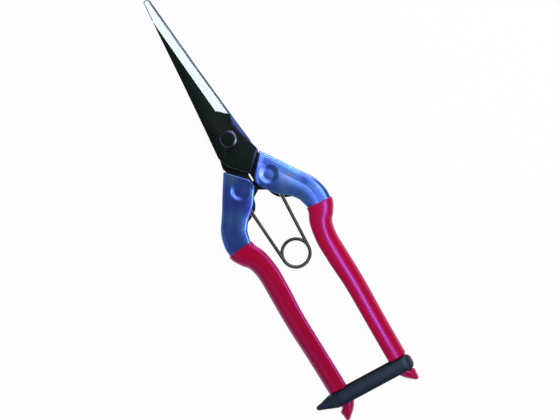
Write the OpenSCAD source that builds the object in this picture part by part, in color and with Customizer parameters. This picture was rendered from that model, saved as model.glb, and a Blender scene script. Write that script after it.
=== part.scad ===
// Long-nosed flower snips, closed and held shut by their rubber catch.
// The pivot axis is Z, the blades point along +Y, and the snips lie on z = 0.

/* [Blades] */
// Distance from the pivot to the tip
blade_reach = 70; // [62:1:78]
// Thickness of each blade
blade_t = 2.2; // [1.9:0.1:2.5]
// Width of the closed pair across the heel
heel_w = 16; // [15.4:0.1:16.6]
// Width of the closed pair where the tip begins to round
nose_w = 3.9; // [3.5:0.1:4.3]
// Radius of the rounded tip
tip_r = 1.3; // [1.1:0.1:1.5]
// How far a cutting edge stops short of the other blade's back
edge_inset = 0.5; // [0.3:0.1:0.7]
// Distance from the pivot to the foot of the ground bevel
bevel_foot = 8.4; // [7.6:0.1:10]
// Angle of the ground bevel to the blade's face
bevel_angle = 23.5; // [21:0.5:26]
// Thickness left along the cutting edge
edge_t = 0.35; // [0.25:0.05:0.5]
// Gap between the two blades
blade_gap = 0.1; // [0.06:0.02:0.2]

/* [Pivot] */
// Radius of the pivot pin
pin_r = 2.2; // [1.8:0.1:2.5]
// Running clearance of the pin in its bores
pin_clear = 0.05; // [0.03:0.01:0.1]
// Radius of the pin's heads
pin_head_r = 3; // [2.8:0.1:3.3]
// Height of the pin's front head
pin_head_h = 0.6; // [0.4:0.1:0.9]
// Radius of the washers
washer_r = 3.9; // [3.6:0.1:4.3]
// Thickness of the washers
washer_t = 0.8; // [0.6:0.1:1]

/* [Handles] */
// Angle of a handle's head to the blades
head_angle = 33.1; // [32:0.1:34.5]
// Width of a handle's head
head_w = 14; // [13.6:0.1:14.4]
// Thickness of the handle's sheet
sheet_t = 1.2; // [1:0.1:1.4]
// Height of the round handle tube
tube_h = 7.7; // [7.3:0.1:8.2]
// Distance of a knee's middle from the long axis
knee_x = 19.8; // [19.2:0.1:20.6]
// Distance of the knees from the pivot, along the blades
knee_y = 40.6; // [39.8:0.1:41.4]
// Width of a handle at its knee
knee_w = 11.6; // [11.2:0.1:12]
// Radius of the round dents that crimp a handle to its tang
dent_r = 3.5; // [3.2:0.1:3.8]
// Depth of the dents
dent_h = 0.85; // [0.7:0.05:1]
// Radius of the plugs that the dents press into the tang
plug_r = 2.6; // [2.2:0.1:2.9]

/* [Grips] */
// Thickness of a grip's wall
grip_t = 0.75; // [0.6:0.05:1]
// Distance of a grip's middle from the long axis
grip_x = 14.8; // [14.3:0.1:15.4]
// Width of a grip below the knee
grip_w = 9.5; // [9.1:0.1:9.9]
// Distance from the pivot to the grips' upper edge
grip_top = 43.3; // [43:0.1:44]
// Distance from the pivot to the grips' ends
handle_reach = 131.2; // [126:0.2:140]

/* [Spring] */
// Diameter of the spring's wire
wire_d = 1.45; // [1.2:0.05:1.6]
// Mean radius of the coil
coil_r = 6.1; // [5.4:0.1:6.6]
// Distance from the pivot to the coil's middle
coil_y = 57.3; // [55:0.1:60]
// Gap between neighbouring turns
coil_gap = 0.65; // [0.6:0.05:0.9]

/* [Catch] */
// Distance from the grips' ends to the strap's middle
strap_rise = 9.55; // [9.3:0.05:9.8]
// Width of the strap
strap_w = 6.5; // [6:0.1:7]
// Tilt of the strap across the handles
strap_tilt = 2.5; // [0:0.5:3]
// Thickness of the strap's two strands
strap_t = 1.2; // [1:0.1:1.3]
// Thickness of the strap round the right grip
strap_end_t = 1.8; // [1.6:0.1:2.4]
// Gap between the strap and the necks of the grips
strap_gap = 0.25; // [0.2:0.05:0.35]
// Radius of the necks in the grips that hold the strap
neck_r = 3.1; // [2.9:0.05:3.1]
// Distance of the pull tab's tip from the long axis
tab_reach = 27; // [26:0.1:28]

/* [Hidden] */
$fn = 48;
mid_z = tube_h / 2 + grip_t;
fit = 0.05;
face_z = blade_gap / 2 + blade_t;
tang_t = blade_t;
strap_y = handle_reach - strap_rise;

// Head frame of the right handle: t runs along its outer edge, c inward from it.
head_edge = 1.64;
along = [sin(head_angle), -cos(head_angle)];
outward = [cos(head_angle), sin(head_angle)];
function head(t, c) = along * t + outward * (head_edge - c);
head_wide_t = 25.6;
head_taper = 0.224;
function inner_edge(t) = head_w - head_taper * max(0, t - head_wide_t);
crimp_t = 22.4;
crimp_in = 6.4;
crimp_at = head(crimp_t, head_w - crimp_in);
head_round = 5.4;
round_t = 22;
round_in = 5.2;
mouth_slant = 14;
cheek_h = tang_t / 2 + fit + sheet_t;

// Blade curves
function bezier(a, b, c, s) = a * (1 - s) ^ 2 + b * 2 * s * (1 - s) + c * s ^ 2;
heel_y = 5;
belly_y = 18;
belly_share = 0.272;
nose_l = 7;
back_a = [-heel_w / 2, -heel_y];
back_b = [-(heel_w + nose_w) * belly_share, belly_y];
back_c = [-nose_w / 2, blade_reach - nose_l];
function back(s) = bezier(back_a, back_b, back_c, s);
function flip(p) = [-p.x, p.y];
function edge(s) = flip(back(s)) - [edge_inset, 0];
back_bow = back_a.y - 2 * back_b.y + back_c.y;
back_run = 2 * (back_b.y - back_a.y);
foot_s = (sqrt(back_run ^ 2 + 4 * back_bow * (bevel_foot - back_a.y)) - back_run) / (2 * back_bow);
foot_at = edge(foot_s);
edge_end = edge(1);
edge_turn = atan2(foot_at.x - edge_end.x, edge_end.y - foot_at.y);
tip_shift = 0.2;
tip_at = [-tip_shift, blade_reach - tip_r];
function arc(c, r, a0, a1, n) =
  [for (i = [0:n]) c + r * [cos(a0 + (a1 - a0) * i / n), sin(a0 + (a1 - a0) * i / n)]];

// The step where the tang leaves the blade's plane for the mid plane
step_t = 13.4;
step_proud = 0.1;
step_low_t = 15;
step_in_c = 3;
step_lip = [0.2, 1.3];
step_out = head(step_t, -step_proud);
step_in = head(step_low_t, head_w - step_in_c);
stop_gap = 0.1;
slit_half = 0.35;
heel_corner = [-6, -10.6];
heel_round = [-7.4, -8];
heel_dip = [-0.3, 0.9];
notch = [0.5, 1];
waist_high = [5.2, 5];
waist_mid = [6, 0];
waist_low = [7.3, -5.2];
blade_outline = concat(
  [for (i = [0:10]) back(i / 10)],
  arc(tip_at, tip_r, 172, 8, 8),
  [for (i = [0:8]) edge(1 - (1 - foot_s) * i / 8)],
  [foot_at - notch, waist_high, waist_mid, waist_low, step_out + flip(step_lip)],
  [step_out, step_in, [heel_dip.x, step_in.y + heel_dip.y], heel_corner],
  [for (i = [1:5]) bezier(heel_corner, heel_round, back_a, i / 6)]
);

// Ear of the tang that holds a spring leg, seen from the handle's inner edge
ear_h = 1.5;
ear_sink = 0.3;
ear_from = 25;
ear_to = 36;
function ear(i) = head(
  ear_from + (ear_to - ear_from) * i,
  inner_edge(ear_from + (ear_to - ear_from) * i) + ear_h * sin(180 * i) - ear_sink * (1 - sin(180 * i))
);
leg_t = 31.4;
leg_proud = 0.4;
leg_at = head(leg_t, inner_edge(leg_t) + leg_proud);
nose_low = 25.4;
nose_high = 21.2;
slit_low = 20.6;
tang_top_t = 16;
tang_low_t = 36;
tang_end_t = 37.5;
tang_side_c = 2.6;
tang_corner_c = 4.5;
tang_inner_c = 10;
tang_lap = [0.22, 0.2];
tang_start = [0.2, 0.23];
tang_sink = [0, 0.05];
tang_outline = concat(
  [step_out + flip(tang_lap), head(tang_top_t, tang_side_c), head(tang_low_t, tang_side_c)],
  [head(tang_end_t, tang_corner_c), head(tang_end_t, tang_inner_c)],
  [for (i = [10:-1:0]) ear(i / 10)],
  [[stop_gap / 2, -nose_low], [stop_gap / 2, -nose_high], [slit_half, -slit_low]],
  [step_in + tang_sink, step_in + tang_start]
);

// Stations of the right handle: x, y, half width, bead half width, bead half height, cheek half height,
// and how square a grip's inner side is there
tube_b = tube_h / 2;
shut = 0.35;
neck_in = neck_r - grip_t;
tube_a = grip_w / 2 - grip_t;
knee_a = knee_w / 2;
neck_above = 0.2;
neck_below = 0.2;
tilt_reach = (grip_x + neck_r) * sin(strap_tilt);
neck_top = strap_y - strap_w / 2 - tilt_reach - neck_above;
neck_low = strap_y + strap_w / 2 + tilt_reach + neck_below;
head_a = head_w / 2;
head_start_t = 8;
turn_t = 35.85;
head_start = head(head_start_t, head_a);
head_mid = head(head_wide_t, head_a);
turn_a = inner_edge(turn_t) / 2;
turn_mid = head(turn_t, turn_a);
// Bead of the folded head: half width and half height on the way to the knee
bead_a = 2.4;
bead_b = 2.9;
turn_bead_a = 2.6;
turn_bead_b = 3.2;
rise_bead_a = 2.9;
rise_bead_b = 3.45;
rise_cheek = 2.5;
knee_bead_a = 4.2;
knee_bead_b = 3.8;
knee_cheek = 2.6;
// Places along the grip and how far the course and the width leave the straight there
rise_x = 1.7;
rise_y = 5.2;
knee_in = 0.3;
knee_up = 1;
lip_up = 0.2;
lip_narrow = 0.35;
bend_y = 3.9;
bend_x = 1.3;
bend_wide = 0.75;
palm_top_y = 50;
palm_top_x = 1.95;
palm_top_wide = 0.3;
palm_y = 58;
palm_x = 0.05;
finger_y = 66;
swell_y = 80;
swell_x = 0.45;
swell_narrow = 0.25;
taper_y = 100;
taper_x = 0.05;
taper_narrow = 0.45;
taper_flat = 0.1;
end_in = 0.2;
shoulder_y = 1.2;
shoulder_narrow = 0.5;
shoulder_flat = 0.25;
core_out = 0.6;
core_y = 1.6;
core_r = 1.9;
cheek_share = 0.96;
grip_square = 0.45;
lip_cheek = 3.3;
function channel_station(x, y, a, b) = [x, y, a, min(a, b), b, cheek_share * b, grip_square];
function round_station(x, y, r) = [x, y, r, r, r, shut * r, 1];
shoulder_station =
  channel_station(grip_x - end_in, shoulder_y - neck_top, tube_a - shoulder_narrow, tube_b - shoulder_flat);
neck_station = round_station(grip_x - end_in, -neck_top, neck_in);
stations = [
  [head_start.x, head_start.y, head_a, bead_a, bead_b, cheek_h, 1],
  [head_mid.x, head_mid.y, head_a, bead_a, bead_b, cheek_h, 1],
  [turn_mid.x, turn_mid.y, turn_a, turn_bead_a, turn_bead_b, cheek_h, 1],
  [knee_x - rise_x, rise_y - knee_y, (turn_a + knee_a) / 2, rise_bead_a, rise_bead_b, rise_cheek, 1],
  [knee_x - knee_in, knee_up - knee_y, knee_a, knee_bead_a, knee_bead_b, knee_cheek, grip_square],
  [knee_x, -grip_top - lip_up, knee_a - lip_narrow, knee_bead_a, tube_b, lip_cheek, grip_square],
  channel_station(knee_x - bend_x, -grip_top - bend_y, tube_a + bend_wide, tube_b),
  channel_station(grip_x + palm_top_x, -palm_top_y, tube_a + palm_top_wide, tube_b),
  channel_station(grip_x + palm_x, -palm_y, tube_a, tube_b),
  channel_station(grip_x, -finger_y, tube_a, tube_b),
  channel_station(grip_x + swell_x, -swell_y, tube_a - swell_narrow, tube_b),
  channel_station(grip_x + taper_x, -taper_y, tube_a - taper_narrow, tube_b - taper_flat),
  shoulder_station,
  (shoulder_station + neck_station) / 2,
  neck_station,
  round_station(grip_x - end_in, -neck_low, neck_in),
  round_station(grip_x + core_out, -neck_low - core_y, core_r)
];
last = len(stations) - 1;

// Smooth course through the stations, and their other values eased between them
function clamped(i) = stations[max(0, min(last, i))];
function spline(a, b, c, d, s) =
  0.5 * (2 * b + (c - a) * s + (2 * a - 5 * b + 4 * c - d) * s ^ 2 + (3 * b - a - 3 * c + d) * s ^ 3);
function ease(s) = s * s * (3 - 2 * s);
function xy(v) = [v.x, v.y];
function course(s) = let (i = min(last - 1, floor(s)))
  spline(xy(clamped(i - 1)), xy(clamped(i)), xy(clamped(i + 1)), xy(clamped(i + 2)), s - i);
function size(s, k) = let (i = min(last - 1, floor(s)))
  clamped(i)[k] + (clamped(i + 1)[k] - clamped(i)[k]) * ease(s - i);
function heading(s) = let (v = course(min(last, s + 0.02)) - course(max(0, s - 0.02))) v / norm(v);

// Sections across the course: a bead at the outer side with two cheeks, a plain oval,
// or a grip that is round outside and squarer at its inner side
bead_steps = 12;
function bead_section(a, ea, eb, reach, h) = let (j = asin(h / eb)) concat(
  [[-reach, -h]],
  [for (i = [0:bead_steps]) let (w = 180 + j + (360 - 2 * j) * i / bead_steps)
    [a - ea + ea * cos(w), eb * sin(w)]],
  [[-reach, h]]
);
function oval_section(a, b, n) = [for (i = [0:n - 1]) [a * cos(360 * i / n), b * sin(360 * i / n)]];
function power(v, p) = sign(v) * abs(v) ^ p;
function grip_section(a, b, n, p) = [for (i = [0:n - 1]) let (w = 360 * i / n, q = cos(w) < -0.001 ? p : 1)
  [a * power(cos(w), q), b * power(sin(w), q)]];
function placed(section, p, dir) = [for (q = section) [p.x - dir.y * q.x, p.y + dir.x * q.x, q.y]];

function quad_faces(i, j, k, n) = let (a = i * n + j, b = i * n + k)
  [[a, a + n, b + n], [a, b + n, b]];
module tube(rings) {
  n = len(rings[0]);
  m = len(rings);
  polyhedron(
    points = [for (r = rings) each r],
    faces = concat(
      [[for (j = [0:n - 1]) j]],
      [for (i = [0:m - 2], j = [0:n - 1]) each quad_faces(i, j, (j + 1) % n, n)],
      [[for (j = [n - 1:-1:0]) (m - 1) * n + j]]
    )
  );
}

steel_steps = [0, 1, 1.5, 2, 2.5, 3, 3.5, 4, 4.5, 5, 5.5, 6, 7, 8, 9, 10, 11, 12, 13, 14, 15, 16];
lip_step = 5;
mouth_end = 5.5;
mouth_past = 1;
mouth_least = 0.4;
bore_back = 1.5;
grip_steps = [5, 5.5, 6, 6.5, 7, 7.5, 8, 8.5, 9, 10, 11, 12, 13, 14, 15];
oval_n = 20;

function steel_ring(s, g) = placed(
  bead_section(size(s, 2) + g, size(s, 3) + g, size(s, 4) + g, size(s, 2) + g, size(s, 5) + g),
  course(s), heading(s)
);
function bore_ring(s) = let (
    out = size(s, 2) - size(s, 3), ea = size(s, 3) - sheet_t, eb = size(s, 4) - sheet_t,
    h = max(mouth_least, size(s, 5) - sheet_t),
    reach = out + size(s, 2) + (s < mouth_end ? mouth_past : -sheet_t)
  )
  placed([for (q = bead_section(ea, ea, eb, reach, h)) q + [out, 0]], course(s), heading(s));
bore_end = 12;
bore_start = [for (q = bore_ring(0)) q - bore_back * [along.x, along.y, 0]];
function grip_ring(s) = placed(
  grip_section(size(s, 2) + grip_t, size(s, 4) + grip_t, oval_n, size(s, 6)),
  course(s), heading(s)
);

// The right side as drawn, and the left side as the same pieces turned over
module right_side() translate([0, 0, mid_z]) children();
module left_side() translate([0, 0, mid_z]) rotate([0, 180, 0]) children();

// Reach of the bevel's cutting block past the edge, below its foot, across and beyond the tip
bevel_past = 6;
bevel_run = 6.3;
bevel_span = 15;
bevel_climb = 15.7;
bevel_lean = 0.5;
bevel_beyond = 10;
bevel_deep = 8;
slot_clear = 0.1;
slot_open = 4;
module blade_solid() {
  wide = 40;
  difference() {
    union() {
      translate([0, 0, blade_gap / 2]) linear_extrude(blade_t) polygon(blade_outline);
      translate([0, 0, -tang_t / 2]) linear_extrude(tang_t) polygon(tang_outline);
    }
    // ground bevel, its foot running back across the blade
    translate([foot_at.x, foot_at.y, blade_gap / 2 + edge_t])
      rotate([0, 0, edge_turn - bevel_lean]) rotate([0, bevel_angle, 0])
      linear_extrude(bevel_deep) polygon([
        [bevel_past, -bevel_run], [-bevel_span, bevel_climb],
        [-bevel_span, blade_reach + bevel_beyond], [bevel_past, blade_reach + bevel_beyond]
      ]);
    translate([0, 0, -wide / 2]) cylinder(r = pin_r + pin_clear, h = wide);
    translate([crimp_at.x, crimp_at.y, -wide / 2]) cylinder(r = plug_r + fit, h = wide);
    // slot for the spring leg
    translate([leg_at.x, leg_at.y, 0]) rotate([0, 0, leg_lean])
      translate([-wire_d / 2 - slot_clear, -slot_open, -tang_t])
        cube([wire_d + 2 * slot_clear, leg_deep + slot_open + 2 * slot_clear, 2 * tang_t]);
  }
}

plug_edge = 0.35;
plug_root = 0.1;
module handle_solid() {
  far = 24;
  past = 4;
  high = 10;
  round_c = head_w - round_in;
  round_to = asin(min(1, round_in / head_round));
  mouth_back = head_round / cos(mouth_slant);
  ball = (dent_r ^ 2 + dent_h ^ 2) / (2 * dent_h);
  seat = cheek_h - sheet_t;
  foot = seat - dent_h;
  difference() {
    tube([for (s = steel_steps) steel_ring(s, 0)]);
    tube(concat([bore_start], [for (s = steel_steps) if (s > 0 && s <= bore_end) bore_ring(s)]));
    // head end, rounded about the crimp
    translate([0, 0, -high]) linear_extrude(2 * high) polygon(concat(
      [head(round_t - mouth_back - (round_c + past) * tan(mouth_slant), -past)],
      [for (i = [0:12]) let (w = mouth_slant + (round_to - mouth_slant) * i / 12)
        head(round_t - head_round * cos(w), round_c + head_round * sin(w))],
      [head(round_t, head_w), head(round_t, far), head(0, far), head(0, -past)]
    ));
    for (side = [-1, 1])
      translate([crimp_at.x, crimp_at.y, side * (cheek_h - dent_h + ball)]) sphere(r = ball);
  }
  // plugs under the dents
  for (turn = [0, 180]) translate([crimp_at.x, crimp_at.y, 0]) rotate([turn, 0, 0]) rotate_extrude() polygon([
    [0, foot], [plug_r - plug_edge, foot], [plug_r, foot + plug_edge], [plug_r, seat + plug_root],
    [0, seat + plug_root]
  ]);
}

end_out = 2.5;
bulge_at = [0.25, 0.4];
bulge_a = 3.4;
cone_at = [1.2, 2.6];
cone_a = 2.45;
cone_b = 2.6;
point_at = [0.4, 1];
point_a = 1.4;
point_b = 1.6;
end_a = 0.75;
end_b = 0.75;
module grip_solid() {
  end_x = grip_x + end_out;
  end_y = -handle_reach;
  // middle, half width and half height of the rings below the neck
  tip_rings = [
    [grip_x + bulge_at.x, -neck_low - bulge_at.y, bulge_a, neck_r],
    [grip_x + cone_at.x, -neck_low - cone_at.y, cone_a, cone_b],
    [end_x - point_at.x, end_y + point_at.y, point_a, point_b],
    [end_x, end_y, end_a, end_b]
  ];
  difference() {
    tube(concat(
      [for (s = grip_steps) grip_ring(s)],
      [for (r = tip_rings) placed(oval_section(r[2], r[3], oval_n), [r.x, r.y], [0, -1])]
    ));
    tube(concat(
      [steel_ring(lip_step - 0.3, fit)],
      [for (s = steel_steps) if (s >= lip_step) steel_ring(s, fit)]
    ));
  }
}

// Spring: left leg in front, one and a half turns, right leg behind
coil_at = [0, -coil_y];
leg_span = leg_at - coil_at;
tangent = atan2(leg_span.y, leg_span.x) - acos(coil_r / norm(leg_span));
tangent_at = coil_at + coil_r * [cos(tangent), sin(tangent)];
leg_lean = tangent;
leg_dir = (leg_at - tangent_at) / norm(leg_at - tangent_at);
leg_deep = 2;
leg_end = leg_at + leg_dir * leg_deep;
sweep_deg = 540 + 2 * tangent;
rise = (wire_d + coil_gap) * sweep_deg / 360;
function coil_point(k) = let (w = 180 - tangent + sweep_deg * k)
  [coil_at.x + coil_r * cos(w), coil_at.y + coil_r * sin(w), rise * (0.5 - k)];
function leg_point(side, k) = let (q = leg_end + (tangent_at - leg_end) * k)
  [side * q.x, q.y, -side * rise / 2 * k];
curl_rings = 8;
coil_rings = ceil(curl_rings * sweep_deg / 360);
wire_path = concat(
  [for (k = [0, 0.5, 0.9]) leg_point(-1, k)],
  [for (i = [0:coil_rings]) coil_point(i / coil_rings)],
  [for (k = [0.9, 0.5, 0]) leg_point(1, k)]
);
function unit(v) = v / norm(v);
function wire_ring(i) = let (
    m = len(wire_path) - 1,
    dir = unit(wire_path[min(m, i + 1)] - wire_path[max(0, i - 1)]),
    side = unit(cross([0, 0, 1], dir)),
    up = cross(dir, side)
  )
  [for (j = [0:5]) wire_path[i] + wire_d / 2 * (side * cos(60 * j) + up * sin(60 * j))];

// Least gap of the wire to itself, on points of its course
gap_points = concat(
  [for (k = [0:0.05:0.95]) leg_point(-1, k)],
  [for (k = [0:0.01:1]) coil_point(k)],
  [for (k = [0.95:-0.05:0]) leg_point(1, k)]
);
least_gap = min([for (i = [0:len(gap_points) - 1], j = [0:len(gap_points) - 1])
  if (j - i > 50) norm(gap_points[i] - gap_points[j]) - wire_d]);
echo(spring_least_gap = least_gap);

// Sub-parts
module front_blade() color([0.08, 0.1, 0.1]) right_side() blade_solid();
module rear_blade() color([0.08, 0.1, 0.1]) left_side() blade_solid();
module right_handle() color([0.2, 0.3, 0.8]) right_side() handle_solid();
module left_handle() color([0.2, 0.3, 0.8]) left_side() handle_solid();
module right_grip() color([0.7, 0.02, 0.18]) right_side() grip_solid();
module left_grip() color([0.7, 0.02, 0.18]) left_side() grip_solid();

pin_head_rim = 0.3;
module pivot_rivet() color([0.1, 0.12, 0.12]) {
  under = mid_z - face_z - pin_clear - washer_t;
  front = mid_z + face_z + pin_clear + washer_t;
  cylinder(r = pin_head_r, h = under);
  cylinder(r = pin_r, h = front + pin_head_h / 2);
  translate([0, 0, front]) rotate_extrude() polygon([
    [0, 0], [pin_head_r, 0], [pin_head_r, pin_head_h / 2], [pin_head_r - pin_head_rim, pin_head_h],
    [0, pin_head_h]
  ]);
}

module washer() {
  rim = 0.3;
  rotate_extrude() polygon([
    [pin_r + pin_clear, 0], [washer_r, 0], [washer_r, washer_t - rim], [washer_r - rim, washer_t],
    [pin_r + pin_clear, washer_t]
  ]);
}
module front_washer() color([0.12, 0.14, 0.14]) right_side() translate([0, 0, face_z + pin_clear]) washer();
module rear_washer() color([0.12, 0.14, 0.14]) left_side() translate([0, 0, face_z + pin_clear]) washer();

module spring() color([0.2, 0.23, 0.23]) right_side() tube([for (i = [0:len(wire_path) - 1]) wire_ring(i)]);

strap_left_t = 2;
tab_r = 1;
tab_up = 0.35;
tab_root = 3;
strap_corner = 2.6;
strap_high = 10;
module catch_strap() color([0.09, 0.13, 0.2]) translate([0, -strap_y, mid_z]) rotate([0, 0, -strap_tilt]) {
  neck_x = grip_x - end_in;
  inner = neck_r + strap_gap;
  outer = inner + strap_t;
  right = neck_x + inner + strap_end_t;
  left = neck_x + inner + strap_left_t;
  half = strap_w / 2;
  corner = strap_corner;
  // outline of the tab: its upper side to the tip, then its lower side back
  tab_over = [
    [-left + 2, half], [-left + 0.5, half - 0.1], [-left - 1.5, half - 0.65], [-tab_reach + 3.1, 1.8]
  ];
  tab_under = [
    [-tab_reach + 4.1, -1.7], [-left - 0.6, -2.6], [-left + 1.2, -half + 0.1], [-left + 2.95, -half]
  ];
  intersection() {
    // section across the strap, with the loop hollow
    rotate([90, 0, 0]) translate([0, 0, -half]) linear_extrude(strap_w) difference() {
      union() {
        translate([outer - left, -outer]) square([left + right - 2 * outer, 2 * outer]);
        translate([right - outer, 0]) circle(outer);
        translate([outer - left, 0]) circle(outer);
        polygon([
          [-neck_x, -tab_root], [-neck_x, tab_root], [tab_r - tab_reach, tab_r], [tab_r - tab_reach, -tab_r]
        ]);
        translate([tab_r - tab_reach, 0]) circle(tab_r);
      }
      translate([-neck_x, -inner]) square([2 * neck_x, 2 * inner]);
      translate([neck_x, 0]) circle(inner);
      translate([-neck_x, 0]) circle(inner);
    }
    // outline seen from the front, rounded at the right and drawn to a tab at the left
    translate([0, 0, -strap_high]) linear_extrude(2 * strap_high) polygon(concat(
      arc([right - corner, corner - half], corner, -90, 0, 6),
      arc([right - corner, half - corner], corner, 0, 90, 6),
      tab_over,
      arc([tab_r - tab_reach, tab_up], tab_r, 100, 250, 6),
      tab_under
    ));
  }
}

front_blade();
rear_blade();
pivot_rivet();
front_washer();
rear_washer();
right_handle();
left_handle();
right_grip();
left_grip();
spring();
catch_strap();
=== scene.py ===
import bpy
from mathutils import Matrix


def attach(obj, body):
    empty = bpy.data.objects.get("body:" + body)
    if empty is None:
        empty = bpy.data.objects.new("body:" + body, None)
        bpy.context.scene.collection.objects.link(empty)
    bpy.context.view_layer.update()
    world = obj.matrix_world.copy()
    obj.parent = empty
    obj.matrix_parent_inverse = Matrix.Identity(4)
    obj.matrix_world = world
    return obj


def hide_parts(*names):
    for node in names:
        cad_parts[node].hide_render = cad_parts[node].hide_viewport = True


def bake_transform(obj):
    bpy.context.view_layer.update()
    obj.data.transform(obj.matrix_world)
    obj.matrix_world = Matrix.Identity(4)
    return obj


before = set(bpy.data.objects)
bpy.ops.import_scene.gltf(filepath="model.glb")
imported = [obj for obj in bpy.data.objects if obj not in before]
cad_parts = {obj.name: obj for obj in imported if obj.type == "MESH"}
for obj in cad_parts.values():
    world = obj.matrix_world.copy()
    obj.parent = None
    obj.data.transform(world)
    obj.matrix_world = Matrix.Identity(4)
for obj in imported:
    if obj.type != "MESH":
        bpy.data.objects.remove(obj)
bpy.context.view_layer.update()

import math
import bmesh
import bpy
from mathutils import Matrix, Vector

mm = 0.001
midZ = 4.6  # mm, height of the plane that both halves share
weld = 2e-6  # m, points nearer than this become one
print("frame loaded,", len(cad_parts), "nodes")


# small helpers, in millimetres
def showPiece(name, mesh):
    mesh.shade_smooth()
    piece = bpy.data.objects.new(name, mesh)
    bpy.context.scene.collection.objects.link(piece)
    return piece


def newPiece(name, verts, faces, finish):
    mesh = bpy.data.meshes.new(name)
    mesh.from_pydata([Vector(v) * mm for v in verts], [], faces)
    mesh.materials.append(finish)
    return showPiece(name, mesh)


def settle(piece, body, slot, *nodes):
    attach(piece, body)
    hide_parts(*nodes)


def closeNormals(piece):
    mesh = bmesh.new()
    mesh.from_mesh(piece.data)
    bmesh.ops.recalc_face_normals(mesh, faces=mesh.faces)
    mesh.to_mesh(piece.data)
    mesh.free()


def partsOf(faces):
    # the faces with their corners and edges, each once
    verts = dict.fromkeys(v for f in faces for v in f.verts)
    edges = dict.fromkeys(e for f in faces for e in f.edges)
    return [*verts, *edges, *faces]


def ringFaces(rows, around):
    # quads between closed rings of points that follow each other
    faces = []
    for i in range(rows - 1):
        for j in range(around):
            near, far = i * around, (i + 1) * around
            k = (j + 1) % around
            faces.append([near + j, near + k, far + k, far + j])
    return faces


def ease(s):
    s = max(0, min(1, s))
    return s * s * (3 - 2 * s)


def power(v, p):
    return math.copysign(abs(v) ** p, v)


def smoothTable(table):
    # curves through the rows of a table, over the distance between its points;
    # only x and y may overshoot
    spans = [math.dist(a[:2], b[:2]) for a, b in zip(table, table[1:])]
    slopes = []
    for k, column in enumerate(zip(*table)):
        rates = [(b - a) / h for a, b, h in zip(column, column[1:], spans)]
        slope = [rates[0]]
        for u, v, hu, hv in zip(rates, rates[1:], spans, spans[1:]):
            if k < 2:
                slope.append((u * hv + v * hu) / (hu + hv))
            elif u * v > 0:
                slope.append(3 * (hu + hv) / ((2 * hv + hu) / u + (hv + 2 * hu) / v))
            else:
                slope.append(0)
        slopes.append(slope + [rates[-1]])

    def at(s):
        i = max(0, min(len(spans) - 1, int(s)))
        k, h = s - i, spans[i]
        row = []
        for a, b, slope in zip(table[i], table[i + 1], slopes):
            bend = h * (slope[i] * k * (1 - k) ** 2 - slope[i + 1] * k * k * (1 - k))
            row.append(a + (b - a) * ease(k) + bend)
        return row
    return at


def headingOf(at, s, last):
    reach = 0.02  # of a station, to both sides
    ahead, behind = at(min(last, s + reach)), at(max(0, s - reach))
    return Vector((ahead[0] - behind[0], ahead[1] - behind[1])).normalized()


def placeAt(point, heading, x, z):
    return point[0] - heading.y * x, point[1] + heading.x * x, z


# finishes
def newFinish(name):
    finish = bpy.data.materials.new(name)
    finish.use_nodes = True
    tree = finish.node_tree
    tree.nodes.clear()
    out = tree.nodes.new("ShaderNodeOutputMaterial")
    shader = tree.nodes.new("ShaderNodeBsdfPrincipled")
    tree.links.new(shader.outputs["BSDF"], out.inputs["Surface"])
    return finish, tree, shader


def grainOf(tree, scale=1, stretch=(1, 1, 1), detail=3, turn=0, shift=(0, 0, 0)):
    where = tree.nodes.new("ShaderNodeTexCoord")
    lay = tree.nodes.new("ShaderNodeMapping")
    lay.inputs["Rotation"].default_value = (0, 0, math.radians(turn))
    lay.inputs["Scale"].default_value = stretch
    lay.inputs["Location"].default_value = Vector(shift) * mm
    grain = tree.nodes.new("ShaderNodeTexNoise")
    grain.inputs["Scale"].default_value = scale
    grain.inputs["Detail"].default_value = detail
    tree.links.new(where.outputs["Object"], lay.inputs["Vector"])
    tree.links.new(lay.outputs["Vector"], grain.inputs["Vector"])
    return grain.outputs["Fac"]


def lengthOf(tree, start, end, turn=0):
    # how far along a point lies, as a share; turn leans the measured line
    where = tree.nodes.new("ShaderNodeTexCoord")
    split = tree.nodes.new("ShaderNodeSeparateXYZ")
    span = tree.nodes.new("ShaderNodeMapRange")
    span.inputs["From Min"].default_value = start * mm
    span.inputs["From Max"].default_value = end * mm
    lean = tree.nodes.new("ShaderNodeMapping")
    lean.inputs["Rotation"].default_value = (0, 0, math.radians(turn))
    tree.links.new(where.outputs["Object"], lean.inputs["Vector"])
    tree.links.new(lean.outputs["Vector"], split.inputs["Vector"])
    tree.links.new(split.outputs["Y"], span.inputs["Value"])
    return span.outputs["Result"]


def rampOf(tree, fac, stops):
    ramp = tree.nodes.new("ShaderNodeValToRGB")
    points = ramp.color_ramp.elements
    while len(points) < len(stops):
        points.new(0.5)
    for point, (at, colour) in zip(points, stops):
        point.position = at
        point.color = (*colour, 1)
    tree.links.new(fac, ramp.inputs["Fac"])
    return ramp.outputs["Color"]


grainLow, grainHigh = 0.3, 0.7  # nearly all that a grain gives lies between these


def rangeOf(tree, fac, low, high):
    span = tree.nodes.new("ShaderNodeMapRange")
    span.inputs["From Min"].default_value = grainLow
    span.inputs["From Max"].default_value = grainHigh
    span.inputs["To Min"].default_value = low
    span.inputs["To Max"].default_value = high
    tree.links.new(fac, span.inputs["Value"])
    return span.outputs["Result"]


def bumpOf(tree, fac, strength, depth):
    bump = tree.nodes.new("ShaderNodeBump")
    bump.inputs["Strength"].default_value = strength
    bump.inputs["Distance"].default_value = depth * mm
    tree.links.new(fac, bump.inputs["Height"])
    return bump.outputs["Normal"]


finishSteps = (
    ("ramp", rampOf, "Base Color"), ("rough", rangeOf, "Roughness"), ("bump", bumpOf, "Normal"),
)


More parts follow.
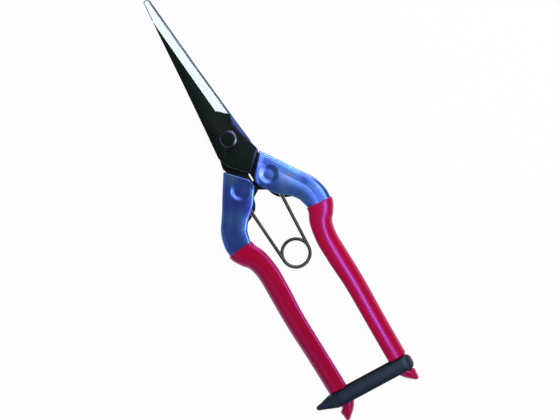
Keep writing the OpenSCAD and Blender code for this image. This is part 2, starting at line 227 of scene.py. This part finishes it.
def makeFinish(name, look):
    # colour, roughness and bump each name the grain that they follow
    finish, tree, shader = newFinish(name)
    grains = {word: grainOf(tree, **grain) for word, grain in look["grains"].items()}
    if "along" in look:
        grains["along"] = lengthOf(tree, *look["along"])
    for step, make, socket in finishSteps:
        word, *values = look[step]
        tree.links.new(make(tree, grains[word], *values), shader.inputs[socket])
    for socket, value in look["shader"].items():
        shader.inputs[socket].default_value = value
    return finish


blackCoatLook = dict(
    grains=dict(cloud=dict(scale=160, detail=4), skin=dict(scale=2600)),
    ramp=("cloud", [(0.3, (0.002, 0.0058, 0.0048)), (0.7, (0.0038, 0.0092, 0.0078))]),
    rough=("cloud", 0.4, 0.52), bump=("skin", 0.35, 0.02),
    shader={"Specular IOR Level": 0.07},
)
wornEdgeLook = dict(
    grains=dict(rub=dict(scale=900, detail=5)),
    ramp=("rub", [(0.35, (0.06, 0.075, 0.11)), (0.65, (0.12, 0.15, 0.22))]),
    rough=("rub", 0.26, 0.42), bump=("rub", 0.2, 0.01),
    shader={"Metallic": 0.9},
)
washerLook = dict(
    grains=dict(rub=dict(scale=700, detail=4)),
    ramp=("rub", [(0.35, (0.05, 0.056, 0.09)), (0.65, (0.085, 0.095, 0.15))]),
    rough=("rub", 0.18, 0.26), bump=("rub", 0.15, 0.01),
    shader={"Metallic": 1},
)
groundSteelLook = dict(
    # grinding lines across the bevel
    grains=dict(lines=dict(stretch=(500, 9000, 500), detail=4, turn=4), cloud=dict(scale=90, detail=2)),
    ramp=("lines", [(0.25, (0.6, 0.66, 0.715)), (0.7, (0.655, 0.715, 0.77))]),
    rough=("cloud", 0.46, 0.52), bump=("lines", 0.02, 0.004),
    shader={"Metallic": 1},
)
blueSteelLook = dict(
    along=(-10, 12),  # mm, from below the pivot to above it
    grains=dict(lines=dict(stretch=(300, 7000, 300), detail=4), cloud=dict(scale=120, detail=2)),
    ramp=("along", [
        (0.05, (0.02, 0.022, 0.09)), (0.7, (0.028, 0.044, 0.13)), (1, (0.022, 0.046, 0.085)),
    ]),
    rough=("cloud", 0.24, 0.34), bump=("lines", 0.2, 0.006),
    shader={"Metallic": 1},
)
bluePlateLook = dict(
    grains=dict(
        # uneven plating tint, plus patches of painted reflection shifted into place on the cheeks
        tint=dict(scale=95, detail=2, shift=(-7.7, -2.1, 0)),
        fine=dict(stretch=(1400, 1400, 1400), detail=5),
    ),
    # deep blue, blue, pale blue and a little bronze: the plating's uneven tint, with the pale blue and
    # bronze patches as painted reflections
    ramp=("tint", [
        (0.3, (0.042, 0.066, 0.42)), (0.5, (0.052, 0.12, 0.54)),
        (0.68, (0.075, 0.2, 0.6)), (0.81, (0.22, 0.2, 0.4)),
    ]),
    rough=("fine", 0.2, 0.27), bump=("fine", 0.12, 0.012),
    shader={
        "Metallic": 1, "Specular Tint": (0.75, 0.85, 1, 1),
        "Coat Weight": 0.35, "Coat Roughness": 0.06,
    },
)
redDipLook = dict(
    grains=dict(cloud=dict(scale=70, stretch=(1, 0.3, 1), detail=2), peel=dict(scale=160, detail=1)),
    ramp=("cloud", [(0.3, (0.335, 0, 0.005)), (0.7, (0.415, 0, 0.009))]),
    rough=("cloud", 0.15, 0.19), bump=("peel", 0.015, 0.02),
    shader={"IOR": 1.7, "Specular IOR Level": 1, "Specular Tint": (0.24, 0.1, 0.72, 1)},
)
wireLook = dict(
    grains=dict(lines=dict(stretch=(2600, 160, 2600))),
    ramp=("lines", [(0.3, (0.03, 0.04, 0.038)), (0.75, (0.1, 0.118, 0.112))]),
    rough=("lines", 0.3, 0.46), bump=("lines", 0.2, 0.01),
    shader={"Metallic": 0.9},
)
rubberLook = dict(
    along=(-124.9, -118.4, 2.5),  # mm, across the strap, and its tilt
    grains=dict(cloud=dict(scale=140), skin=dict(scale=3000, detail=2)),
    # painted shade: darker towards both long edges and lighter along the middle, as light falls on the
    # rounded strap
    ramp=("along", [
        (0.04, (0.001, 0.002, 0.004)), (0.3, (0.004, 0.0085, 0.018)), (0.58, (0.008, 0.016, 0.036)),
        (0.76, (0.004, 0.0085, 0.018)), (0.97, (0.001, 0.002, 0.004)),
    ]),
    rough=("cloud", 0.36, 0.46), bump=("skin", 0.3, 0.02),
    shader={"Specular Tint": (0.5, 0.7, 1, 1)},
)
blackCoat = makeFinish("blackCoat", blackCoatLook)
wornEdge = makeFinish("wornEdge", wornEdgeLook)
washerSteel = makeFinish("washerSteel", washerLook)
groundSteel = makeFinish("groundSteel", groundSteelLook)
blueSteel = makeFinish("blueSteel", blueSteelLook)
bluePlate = makeFinish("bluePlate", bluePlateLook)
redDip = makeFinish("redDip", redDipLook)
drawnWire = makeFinish("drawnWire", wireLook)
strapRubber = makeFinish("strapRubber", rubberLook)
print("finishes made")


# blades, from the solids' own faces: ground bevel, blued inner face by the spine, broken edges
bladeLook = dict(
    face=6.85, flatAngle=0.6, level=0.02, near=0.1,  # height of the outer face, and what counts as flat
    waistFrom=(7.3, -5.2), waistTo=(7.75, -5.7), nose=(0.07, -20.9), noseGap=0.005,
    bluedFrom=-9.6, spine=-2, honed=0.42,
    stepOut=(8.775, -10.275), stepIn=(0.35, -17.677), stepWide=0.8, stepDrop=0.34,
    onStep=0.06, stepSlack=0.05,
    waistX=4, waistTop=7.4, waistSlope=0.55, heelX=0.4, heelTop=-4, heelSlope=0.22, heelSteps=2,
    edge=0.07, edgeAngle=32, edgeSteps=2,
    # how far up the faces look, 1 is straight up
    bevelUp=(0.8, 0.985), chamferUp=(0.55, 0.8), flatUp=0.99, slopeUp=0.5, cuttingUp=0.3, innerUp=-0.9,
)
coated, ground, blued, worn = range(4)


def dressBlade(node, name, body, front):
    look = bladeLook
    lift = Matrix.Translation((0, 0, midZ * mm))
    turn = lift @ Matrix.Diagonal((front, 1, front, 1)) @ lift.inverted()
    blade = bmesh.new()
    blade.from_mesh(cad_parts[node].data)
    blade.transform(turn)  # the rear blade is the front one turned over
    bmesh.ops.remove_doubles(blade, verts=blade.verts, dist=weld)
    flat = math.radians(look["flatAngle"])
    bmesh.ops.dissolve_limit(blade, angle_limit=flat, verts=blade.verts, edges=blade.edges)
    bmesh.ops.recalc_face_normals(blade, faces=blade.faces)
    for v in blade.verts:
        if (v.co.xy / mm - Vector(look["waistFrom"])).length < look["near"]:
            v.co.xy = Vector(look["waistTo"]) * mm
        if 0 < v.co.x < look["nose"][0] * mm and v.co.y < look["nose"][1] * mm:
            v.co.x = look["noseGap"] * mm  # the tangs' noses rest on each other
    cuts = [((0, look["bluedFrom"] * mm, 0), (0, 1, 0)), ((look["spine"] * mm, 0, 0), (1, 0, 0))]
    for point, facing in cuts:
        inner = [f for f in blade.faces if f.normal.z < look["innerUp"]]
        bmesh.ops.bisect_plane(blade, geom=partsOf(inner), plane_co=point, plane_no=facing)
    for face in blade.faces:
        middle, up = face.calc_center_median() / mm, face.normal.z
        if look["bevelUp"][0] < up < look["bevelUp"][1]:
            face.material_index = ground
        elif up < look["innerUp"] and middle.y > look["bluedFrom"] and middle.x < look["spine"]:
            face.material_index = blued
    bevel = [f for f in blade.faces if f.material_index == ground]
    wide = look["honed"] * mm
    border = bmesh.ops.inset_region(blade, faces=bevel, thickness=wide, use_even_offset=True)
    for face in border["faces"]:
        # honed along the cutting edge and round the tip
        cutting = any(f.normal.z < look["cuttingUp"] for e in face.edges for f in e.link_faces)
        face.material_index = worn if cutting else ground
    start = Vector(look["stepOut"])
    run = (Vector(look["stepIn"]) - start).normalized()
    side = Vector((run.y, -run.x, 0))

    def offStep(p):
        return abs((p - start).cross(run))  # mm from the line of the step

    def atFace(z):
        return abs(z / mm - look["face"]) < look["level"]

    def clear(p):
        return offStep(p) > look["onStep"]

    def rim(test):
        # edges of the outer face where the test holds at both ends
        return [e for e in blade.edges if all(atFace(v.co.z) and test(v.co.xy / mm) for v in e.verts)]

    # sloped facet along the step
    top = [f for f in blade.faces if f.normal.z > look["flatUp"] and atFace(f.calc_center_median().z)]
    line = (Vector((*start, 0)) + side * look["stepWide"]) * mm
    bmesh.ops.bisect_plane(blade, geom=partsOf(top), plane_co=line, plane_no=side)
    for v in {v for e in rim(lambda p: offStep(p) < look["onStep"]) for v in e.verts}:
        v.co.z -= look["stepDrop"] * mm
    for face in blade.faces:
        out = max(offStep(v.co.xy / mm) for v in face.verts)
        if face.normal.z > look["slopeUp"] and out < look["stepWide"] + look["stepSlack"]:
            face.material_index = blued
    # chamfer beside the waist, then the rubbed edge of the heel
    waist = rim(lambda p: p.x > look["waistX"] and p.y < look["waistTop"] and clear(p))
    wide = look["waistSlope"] * mm
    bmesh.ops.bevel(blade, geom=waist, offset=wide, segments=1, affect="EDGES", material=coated)
    for face in blade.faces:
        middle, up = face.calc_center_median() / mm, face.normal.z
        beside = middle.x > look["waistX"] and middle.y > look["stepOut"][1]
        if beside and look["chamferUp"][0] < up < look["chamferUp"][1]:
            face.material_index = blued
    heel = rim(lambda p: p.x < look["heelX"] and p.y < look["heelTop"] and clear(p))
    wide, steps = look["heelSlope"] * mm, look["heelSteps"]
    bmesh.ops.bevel(blade, geom=heel, offset=wide, segments=steps, affect="EDGES", material=worn)
    blade.transform(turn)
    bmesh.ops.recalc_face_normals(blade, faces=blade.faces)
    mesh = bpy.data.meshes.new(name)
    blade.to_mesh(mesh)
    blade.free()
    for finish in (blackCoat, groundSteel, blueSteel, wornEdge):
        mesh.materials.append(finish)
    piece = showPiece(name, mesh)
    edges = piece.modifiers.new("edges", "BEVEL")
    edges.width = look["edge"] * mm
    edges.segments = look["edgeSteps"]
    edges.limit_method = "ANGLE"
    edges.angle_limit = math.radians(look["edgeAngle"])
    edges.harden_normals = True
    edges.material = coated
    settle(piece, body, "blade_coat", node)


dressBlade("front_blade", "frontBlade", "right_half", 1)
dressBlade("rear_blade", "rearBlade", "left_half", -1)
print("blades dressed")


# handles: one folded sheet each, along the course of the right side;
# the left side is the same turned over
course = dict(headAngle=33.1, headEdge=1.64, headW=14.0, headEnd=25.6, turnT=35.85, turnA=5.852)
headTurn = math.radians(course["headAngle"])
along = Vector((math.sin(headTurn), -math.cos(headTurn)))
outward = Vector((-along.y, along.x))
headA = course["headW"] / 2


def headAt(t, c):
    # t along the head from the pivot, c across it from its outer edge
    return along * t + outward * (course["headEdge"] - c)


sheetLook = dict(
    sheet=1.2, cheekSteps=36, crownSteps=5, foldSteps=26, headRows=44, step=0.04, hidden=6.2, ahead=0.5,
    foldPower=4.4, foldSlope=0.045, foldCrowd=1.6, edgeDrop=0.6, edgeSlope=0.76, creaseWide=0.08,
    lipRound=0.5, lips=(0, 0.02, 0.07, 0.16, 0.3), mouthLips=(0, 0.03, 0.1, 0.24),
    lipFlat=0.95, lipSlope=0.2,
    dentAt=(22.4, 7.6), dentFlat=2.0, dentR=4.4, dentH=0.41, dentFrom=0.9,
    mouthT=22.0, mouthC=8.8, mouthR=5.4, mouthSlant=14, flare=0.2, flareRun=3.0, flareHigh=2,
    # x, y, half width, width of the fold, crease, height of the fold, height at the crease,
    # rise and crown of the cheek
    stations=[
        [*headAt(course["headEnd"] - 1, headA), headA, 3.0, 4.4, 3.0, 2.9, 0.05, 0.23],
        [*headAt(course["headEnd"], headA), headA, 3.0, 4.4, 3.0, 2.9, 0.05, 0.23],
        [*headAt(course["turnT"], course["turnA"]), course["turnA"], 3.2, 4.6, 3.2, 3.1, 0.05, 0.24],
        [18.1, -35.4, 5.826, 3.5, 4.9, 3.42, 3.32, 0.04, 0.2],
        [19.5, -39.6, 5.8, 4.0, 5.3, 3.75, 3.65, 0.02, 0.15],
        [19.8, -43.5, 5.45, 4.3, 5.6, 3.9, 3.8, 0, 0.14],
        [18.5, -47.2, 4.75, 4.3, 5.8, 3.9, 3.8, 0, 0.1],
        [16.75, -50, 4.3, 4.0, 5.8, 3.9, 3.8, 0, 0.1],
    ],
    headStation=1.0,  # the one where the straight head ends
)
sheetAt = smoothTable(sheetLook["stations"])
dentMiddle = headAt(*sheetLook["dentAt"])


def mouthAt(c):
    # where the sheet begins, across the head from its outer edge
    t, r, off = sheetLook["mouthT"], sheetLook["mouthR"], c - sheetLook["mouthC"]
    slant = math.radians(sheetLook["mouthSlant"])
    if off < r * math.sin(slant):
        return t - r / math.cos(slant) + off * math.tan(slant)
    return t - math.sqrt(max(0, r ** 2 - off ** 2))


def sunkAt(x, y):
    # depth of the crimp's dent: a flat floor and a soft wall round it
    look = sheetLook
    away = (Vector((x, y)) - dentMiddle).length
    return look["dentH"] * ease((look["dentR"] - away) / (look["dentR"] - look["dentFlat"]))


def sheetProfile(s):
    # half of the section, from the inner lip out to the edge of the fold,
    # as (distance from the edge, height)
    look = sheetLook
    a, fold, crease, high, low, rise, crown = sheetAt(s)[2:]
    wide, bends = look["creaseWide"], look["foldSteps"]
    reach = [2 * a - d for d in (*look["lips"], look["lipRound"])]
    goals = ((crease + wide, look["cheekSteps"]), (crease - wide, 1), (fold, look["crownSteps"]))
    for goal, steps in goals:
        reach += [reach[-1] + (goal - reach[-1]) * i / steps for i in range(1, steps + 1)]
    turns = [math.cos(math.pi / 2 * i / bends) for i in range(1, bends)]
    reach += [fold * turn ** look["foldCrowd"] for turn in turns] + [0]
    half = []
    for c in reach:
        # narrow flat pressed along the edge
        facet = high - look["foldSlope"] * crease - look["edgeDrop"] + look["edgeSlope"] * c
        bend = 1 - max(0, 1 - c / fold) ** look["foldPower"]
        roll = (high - look["foldSlope"] * (crease - c)) * bend ** (1 / look["foldPower"])
        over = max(-1, 2 * (c - crease) / (2 * a - crease) - 1)  # from the crease to the inner lip
        cheek = low + rise * (1 + over) / 2 + crown * (1 - over * over)
        # narrow slope down to the lip
        cheek -= look["lipSlope"] * max(0, look["lipFlat"] - (2 * a - c))
        half.append((c, cheek if c > crease else min(roll, facet)))
    return half


def lipInset(d):
    r = sheetLook["lipRound"]
    return r - math.sqrt(max(0, r * r - (r - d) ** 2)) if d < r else 0


def sheetLoop(half, a, inset):
    # closed section: outside of the sheet, then its inside, rounded at both lips
    line = [(a - c, z) for c, z in half] + [(a - c, -z) for c, z in reversed(half[:-1])]
    outer, inner = [], []
    for i, (x, z) in enumerate(line):
        (x0, z0), (x1, z1) = line[max(0, i - 1)], line[min(len(line) - 1, i + 1)]
        run = Vector((x1 - x0, z1 - z0)).normalized()
        into = Vector((run.y, -run.x))
        near = max(inset, lipInset(half[0][0] - (a - x)))
        deep = sheetLook["sheet"] - near
        outer.append((x + into.x * near, z + into.y * near))
        inner.append((x + into.x * deep, z + into.y * deep))
    return outer + inner[::-1]


def buildHandle(name, node, body, side):
    look = sheetLook
    s, r = look["headStation"], look["lipRound"]
    half = sheetProfile(s)
    rows = []
    # rows round the mouth's lip, then along the rest of the head
    starts = [(d, lipInset(d), 0) for d in (*look["mouthLips"], r)]
    starts += [(r, 0, i / look["headRows"]) for i in range(1, look["headRows"])]
    for d, inset, share in starts:
        row = []
        for x, z in sheetLoop(half, headA, inset):
            c = headA - x
            mouth = mouthAt(min(c, 2 * headA))
            t = mouth + (d + (course["headEnd"] - mouth - d) * share)
            flare = look["flare"] * ease(1 - (t - mouth) / look["flareRun"])
            row.append((*headAt(t, c), z + math.copysign(flare, z) * ease(abs(z) / look["flareHigh"])))
        rows.append(row)
    while s < look["hidden"]:
        point, heading = sheetAt(s), headingOf(sheetAt, s, look["hidden"] + look["ahead"])
        rows.append([placeAt(point, heading, x, z) for x, z in sheetLoop(sheetProfile(s), point[2], 0)])
        s += look["step"]
    verts = []
    for row in rows:
        for x, y, z in row:
            sunk = math.copysign(sunkAt(x, y), z) if abs(z) > look["dentFrom"] else 0
            verts.append((side * x, y, midZ + side * (z - sunk)))
    n = len(rows[0])
    m = n // 2
    faces = ringFaces(len(rows), n)
    faces += [[j, n - 1 - j, n - 2 - j, j + 1] for j in range(m - 1)]  # the mouth
    handle = newPiece(name, verts, faces, bluePlate)
    closeNormals(handle)
    # columns of points on both sides of the crease, above and below
    crease = len(look["lips"]) + look["cheekSteps"]
    sharp = {crease, crease + 1, m - 1 - crease, m - 2 - crease}
    for edge in handle.data.edges:
        first, second = edge.vertices
        edge.use_edge_sharp = first % n in sharp and (second - first) % n == 0
    settle(handle, body, "handle_plate", node)


# grips: a dipped cover from the lip at the knee, through the neck of the catch, to the pointed end
gripLook = dict(
    around=56, seam=0.001, step=0.06, square=0.26, drop=dict(right=1.7, left=0.45),
    # places along the grip are counted in stations
    lip=2.0, lipRun=0.1, lipRound=0.55, lipCuts=(0, 0.1, 0.3, 0.6, 1), lipInside=(-0.9, -0.75),
    kneeSquare=0.74, kneeEnd=5.0, ridgeIn=1.3, ridgeFrom=3, ridgeRun=4.5, neckFrom=8, neckEnd=12,
    # x, y, half width, half height, how square the inner side is
    stations=[
        [19.5, -39.6, 6.55, 4.55, 0.3], [19.7, -41.6, 6.45, 4.6, 0.3], [19.8, -43.5, 6.2, 4.6, 0.3],
        [18.5, -47.2, 5.5, 4.6, 0.28], [16.75, -50, 5.05, 4.6, 0.26], [14.85, -58, 4.75, 4.6, 0.26],
        [14.8, -66, 4.75, 4.6, 0.26], [15.25, -80, 4.5, 4.6, 0.26], [14.85, -100, 4.3, 4.5, 0.26],
        [14.6, -116.6, 4.25, 4.35, 0.26], [14.6, -117.0, 3.68, 3.73, 0.63], [14.6, -117.4, 3.1, 3.1, 1],
        [14.6, -125.85, 3.1, 3.1, 1], [15.05, -126.3, 3.4, 3.1, 1], [16.0, -128.5, 2.45, 2.6, 1],
        [16.9, -130.2, 1.4, 1.6, 1], [17.25, -131.0, 0.8, 0.85, 1], [17.3, -131.2, 0.4, 0.45, 1],
    ],
)
gripAt = smoothTable(gripLook["stations"])


def gripSection(a, b, inner, outer, shift):
    section = []
    for i in range(gripLook["around"]):
        w = 2 * math.pi * i / gripLook["around"]
        within = math.cos(w) < -gripLook["seam"]
        p, reach = (inner, a - shift) if within else (outer, a + shift)
        section.append((reach * power(math.cos(w), p) - shift, b * power(math.sin(w), p)))
    return section


def buildGrip(name, node, body, side, drop):
    look = gripLook
    lip, run, r = look["lip"], look["lipRun"], look["lipRound"]
    last, square = len(look["stations"]) - 1, look["kneeSquare"]
    # the lip's inside, its round edge, then the rest of the grip
    cuts = [(lip + run, look["lipInside"][0]), (lip, look["lipInside"][1])]
    cuts += [(lip + run * k, -r * (1 - math.sqrt(1 - (1 - k) ** 2))) for k in look["lipCuts"]]
    count = int((last - lip - run) / look["step"])
    cuts += [(lip + run + i * look["step"], 0) for i in range(1, count)] + [(last, 0)]
    rows = []
    for s, grow in cuts:
        x, y, a, b, inner = gripAt(s)
        neck = ease(s - look["neckFrom"])
        y -= drop * (neck if s < look["neckFrom"] + 1 else ease(look["neckEnd"] - s))
        heading = headingOf(gripAt, s, last).lerp(Vector((0, -1)), neck).normalized()
        outer = square + (1 - square) * ease((s - lip) / (look["kneeEnd"] - lip))
        # the top's crest lies inward of the middle
        shift = look["ridgeIn"] * ease((s - look["ridgeFrom"]) / look["ridgeRun"])
        shift = shift * (1 - inner) / (1 - look["square"])
        section = gripSection(a + grow, b + grow, inner, outer, shift)
        rows.append([placeAt((x, y), heading, u, v) for u, v in section])
    n = look["around"]
    verts = [(side * x, y, midZ + side * z) for row in rows for x, y, z in row]
    faces = ringFaces(len(rows), n) + [list(range(n)), list(range(len(verts) - n, len(verts)))]
    grip = newPiece(name, verts, faces, redDip)
    closeNormals(grip)
    settle(grip, body, "grip_cover", node)


for side, word in ((1, "right"), (-1, "left")):
    buildHandle(word + "Handle", word + "_handle", word + "_half", side)
    buildGrip(word + "Grip", word + "_grip", word + "_half", side, gripLook["drop"][word])
print("handles and grips swept")


# pivot: turned pin with flat heads, rounded at the rim, and two sloped washers
pivotLook = dict(
    around=72, washers=(("front", 6.9, 1), ("rear", 2.3, -1)),  # side, foot and direction
    # radius and height round the pin
    pin=[
        (0.01, 0), (2.75, 0), (2.95, 0.08), (3.0, 0.25), (3.0, 1.5), (2.2, 1.5), (2.2, 7.7), (3.0, 7.7),
        (3.0, 7.95), (2.95, 8.1), (2.82, 8.22), (2.6, 8.28), (1.6, 8.3), (0.01, 8.3),
    ],
    ring=[
        (2.3, 0), (3.9, 0), (3.9, 0.36), (3.88, 0.46), (3.82, 0.55), (3.72, 0.61), (3.6, 0.65),
        (3.1, 0.77), (3.0, 0.8), (2.3, 0.8), (2.3, 0),
    ],
)


def turned(name, profile, finish):
    n = pivotLook["around"]
    corners = [2 * math.pi * i / n for i in range(n)]
    verts = [(r * math.cos(w), r * math.sin(w), z) for r, z in profile for w in corners]
    return newPiece(name, verts, ringFaces(len(profile), n), finish)


settle(turned("pivotPin", pivotLook["pin"], blackCoat), "pivot", "pivot_steel", "pivot_rivet")
for word, foot, way in pivotLook["washers"]:
    washer = turned(word + "Washer", [(r, foot + way * z) for r, z in pivotLook["ring"]], washerSteel)
    settle(washer, "pivot", "pivot_steel", word + "_washer")
print("pivot turned")


# spring: the coil stays on the middle line, with a leg out to each handle
springLook = dict(
    wire=1.45, around=16, coilR=6.1, coilY=-57.3, turns=1.5, gap=0.65, coilSteps=110,
    legEnd=(7.663, -30.567), tangentDeg=-3.323, legSteps=40, legHeld=0.1,
)
tangent = math.radians(springLook["tangentDeg"])
coilMiddle = Vector((0, springLook["coilY"]))
tangentAt = coilMiddle + springLook["coilR"] * Vector((math.cos(tangent), math.sin(tangent)))
sweepDeg = 360 * springLook["turns"] + 2 * springLook["tangentDeg"]
springRise = (springLook["wire"] + springLook["gap"]) * sweepDeg / 360


def wireTube(name, path):
    n, r = springLook["around"], springLook["wire"] / 2
    verts = []
    for i, p in enumerate(path):
        ahead = (path[min(len(path) - 1, i + 1)] - path[max(0, i - 1)]).normalized()
        across = Vector((0, 0, 1)).cross(ahead).normalized()
        lift = ahead.cross(across)
        for j in range(n):
            w = 2 * math.pi * j / n
            verts.append(p + (across * math.cos(w) + lift * math.sin(w)) * r)
    faces = ringFaces(len(path), n) + [list(range(n))[::-1], list(range(len(verts) - n, len(verts)))]
    return newPiece(name, verts, faces, drawnWire)


def coilPoint(k):
    r, w = springLook["coilR"], math.radians(180 - springLook["tangentDeg"] + sweepDeg * k)
    x, y = r * math.cos(w), springLook["coilY"] + r * math.sin(w)
    return Vector((x, y, midZ + springRise * (0.5 - k)))


def legPoint(side, k):
    q = Vector(springLook["legEnd"]).lerp(tangentAt, k)
    return Vector((side * q.x, q.y, midZ - side * springRise / 2 * k))


coilSteps, legSteps = springLook["coilSteps"], springLook["legSteps"]
coil = wireTube("springCoil", [coilPoint(i / coilSteps) for i in range(coilSteps + 1)])
settle(coil, "pivot", "spring_wire", "spring")
for side, word in ((1, "right"), (-1, "left")):
    leg = wireTube(word + "SpringLeg", [legPoint(side, i / legSteps) for i in range(legSteps + 1)])
    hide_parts("spring")
    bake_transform(leg)
print("spring wound")


# rubber catch, its corners moulded round
strapLook = dict(
    cell=0.2, soften=12, softShare=0.5,
    middle=(0, -121.65), tilt=2.5, half=3.25, outerZ=3.5, pillow=0.95,
)


def mouldStrap():
    look = strapLook
    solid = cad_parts["catch_strap"].data
    verts, faces = [v.co / mm for v in solid.vertices], [list(p.vertices) for p in solid.polygons]
    strap = newPiece("catchStrap", verts, faces, strapRubber)
    mesh = bmesh.new()
    mesh.from_mesh(strap.data)
    bmesh.ops.remove_doubles(mesh, verts=mesh.verts, dist=weld)
    mesh.to_mesh(strap.data)
    mesh.free()
    fine = strap.modifiers.new("fine", "REMESH")
    fine.mode = "VOXEL"
    fine.voxel_size = look["cell"] * mm
    soft = strap.modifiers.new("soft", "SMOOTH")
    soft.factor = look["softShare"]
    soft.iterations = look["soften"]
    made = bpy.data.meshes.new_from_object(strap.evaluated_get(bpy.context.evaluated_depsgraph_get()))
    strap.modifiers.clear()
    strap.data = made
    made.materials.clear()
    made.materials.append(strapRubber)
    made.shade_smooth()
    tilt = math.radians(look["tilt"])
    across = Vector((math.sin(tilt), math.cos(tilt)))
    for v in made.vertices:
        side = (v.co.xy / mm - Vector(look["middle"])).dot(across) / look["half"]
        height = v.co.z / mm - midZ
        # none inside the loop, all on the outside
        skin = ease((abs(height) - look["outerZ"]) / (midZ - look["outerZ"]))
        sunk = look["pillow"] * (1 - math.sqrt(1 - min(1, abs(side)) ** 2)) * skin
        v.co.z -= math.copysign(sunk, height) * mm
    settle(strap, "catch", "strap_rubber", "catch_strap")


mouldStrap()
print("catch moulded")


# studio
studioLook = dict(
    fieldW=242.8, height=650.0, over=(3.56, -37.77), up=(0.5115, 0.8593), sensor=36, clip=(0.01, 20),
    floorW=3000, floorZ=-0.02, paper=(0.8, 0.8, 0.8), paperRough=0.9, whiteShare=0.965,
    # left, right, near and far side and brightness of the panels; they hang a little above each other,
    # so that each of them is reflected; the last is for the grips
    panels=[(105, 220, -300, 220, 2.0), (45, 300, -300, 220, 1.1), (110, 215, -165, -60, 4.2)],
    panelHeight=400, panelGap=8,
    # brightness of the sky from the dark side to the bright side
    sky=[
        (-1, 0.3), (-0.62, 0.55), (-0.3, 0.28), (-0.05, 0.22), (0.08, 0.26), (0.2, 0.58), (0.36, 1.1),
        (0.55, 0.7), (0.75, 0.35), (1, 0.25),
    ],
    stripFrom=80, stripTo=260, stripAway=620, stripTurn=31, stripLean=90,
    stripLength=150, stripLevel=20,
)


def buildCamera():
    look = studioLook
    eye = bpy.data.cameras.new("camera")
    eye.sensor_width = look["sensor"]
    eye.lens = look["sensor"] * (look["height"] - midZ) / look["fieldW"]
    eye.clip_start, eye.clip_end = look["clip"]
    camera = bpy.data.objects.new("camera", eye)
    up = Vector((*look["up"], 0)).normalized()
    back = Vector((0, 0, 1))
    camera.matrix_world = Matrix((up.cross(back), up, back)).transposed().to_4x4()
    camera.location = Vector((*look["over"], look["height"])) * mm
    bpy.context.scene.collection.objects.link(camera)
    bpy.context.scene.camera = camera


def buildFloor():
    look = studioLook
    half, z = look["floorW"], look["floorZ"]
    paper, tree, shader = newFinish("paper")
    corners = [(-half, -half, z), (half, -half, z), (half, half, z), (-half, half, z)]
    floor = newPiece("floor", corners, [[0, 1, 2, 3]], paper)
    shader.inputs["Base Color"].default_value = (*look["paper"], 1)
    shader.inputs["Roughness"].default_value = look["paperRough"]
    glow = tree.nodes.new("ShaderNodeEmission")
    glow.inputs["Color"].default_value = (1, 1, 1, 1)
    rays = tree.nodes.new("ShaderNodeLightPath")
    seen = rays.outputs["Is Camera Ray"]
    for kind in ("Is Glossy Ray", "Is Transmission Ray"):
        either = tree.nodes.new("ShaderNodeMath")
        either.operation = "MAXIMUM"
        tree.links.new(seen, either.inputs[0])
        tree.links.new(rays.outputs[kind], either.inputs[1])
        seen = either.outputs[0]
    share = tree.nodes.new("ShaderNodeMath")
    share.operation = "MULTIPLY"
    share.inputs[1].default_value = look["whiteShare"]  # the rest keeps the shadow
    tree.links.new(seen, share.inputs[0])
    blend = tree.nodes.new("ShaderNodeMixShader")
    tree.links.new(share.outputs[0], blend.inputs["Fac"])
    tree.links.new(shader.outputs["BSDF"], blend.inputs[1])
    tree.links.new(glow.outputs["Emission"], blend.inputs[2])
    out = [n for n in tree.nodes if n.type == "OUTPUT_MATERIAL"][0]
    tree.links.new(blend.outputs["Shader"], out.inputs["Surface"])


def buildWorld():
    world = bpy.data.worlds.new("studio")
    bpy.context.scene.world = world
    world.use_nodes = True
    tree = world.node_tree
    tree.nodes.clear()
    out = tree.nodes.new("ShaderNodeOutputWorld")
    sky = tree.nodes.new("ShaderNodeBackground")
    where = tree.nodes.new("ShaderNodeTexCoord")
    toward = tree.nodes.new("ShaderNodeVectorMath")
    toward.operation = "DOT_PRODUCT"
    toward.inputs[1].default_value = (1, 0, 0)  # the studio's bright side
    spread = tree.nodes.new("ShaderNodeMapRange")
    spread.inputs["From Min"].default_value = -1
    tree.links.new(where.outputs["Generated"], toward.inputs[0])
    tree.links.new(toward.outputs["Value"], spread.inputs["Value"])
    stops = [((at + 1) / 2, (level, level, level)) for at, level in studioLook["sky"]]
    levels = rampOf(tree, spread.outputs["Result"], stops)
    levels.node.color_ramp.interpolation = "EASE"
    tree.links.new(levels, sky.inputs["Color"])
    tree.links.new(sky.outputs["Background"], out.inputs["Surface"])


def softLight(name, middle, wide, long, level, lean=0, turn=0):
    # faces down, or leans to face the object; level is its brightness as the object sees it
    lamp = bpy.data.lights.new(name, "AREA")
    lamp.shape = "RECTANGLE"
    lamp.size, lamp.size_y = wide * mm, long * mm
    lamp.energy = level * math.pi * lamp.size * lamp.size_y
    lantern = bpy.data.objects.new(name, lamp)
    lantern.location = Vector(middle) * mm
    lantern.rotation_euler = (0, math.radians(lean), math.radians(turn))
    lantern.visible_camera = False
    bpy.context.scene.collection.objects.link(lantern)


def buildLights():
    look = studioLook
    for i, (left, right, near, far, level) in enumerate(look["panels"]):
        middle = ((left + right) / 2, (near + far) / 2, look["panelHeight"] + i * look["panelGap"])
        softLight("panel%d" % i, middle, right - left, far - near, level)
    turn, away = math.radians(look["stripTurn"]), look["stripAway"]
    low, high = look["stripFrom"], look["stripTo"]
    middle = (away * math.cos(turn), away * math.sin(turn), (low + high) / 2)
    leaning = look["stripLean"], look["stripTurn"]
    softLight("strip", middle, high - low, look["stripLength"], look["stripLevel"], *leaning)


buildCamera()
buildFloor()
buildWorld()
buildLights()
bpy.context.scene.view_settings.view_transform = "Standard"
print("studio set")
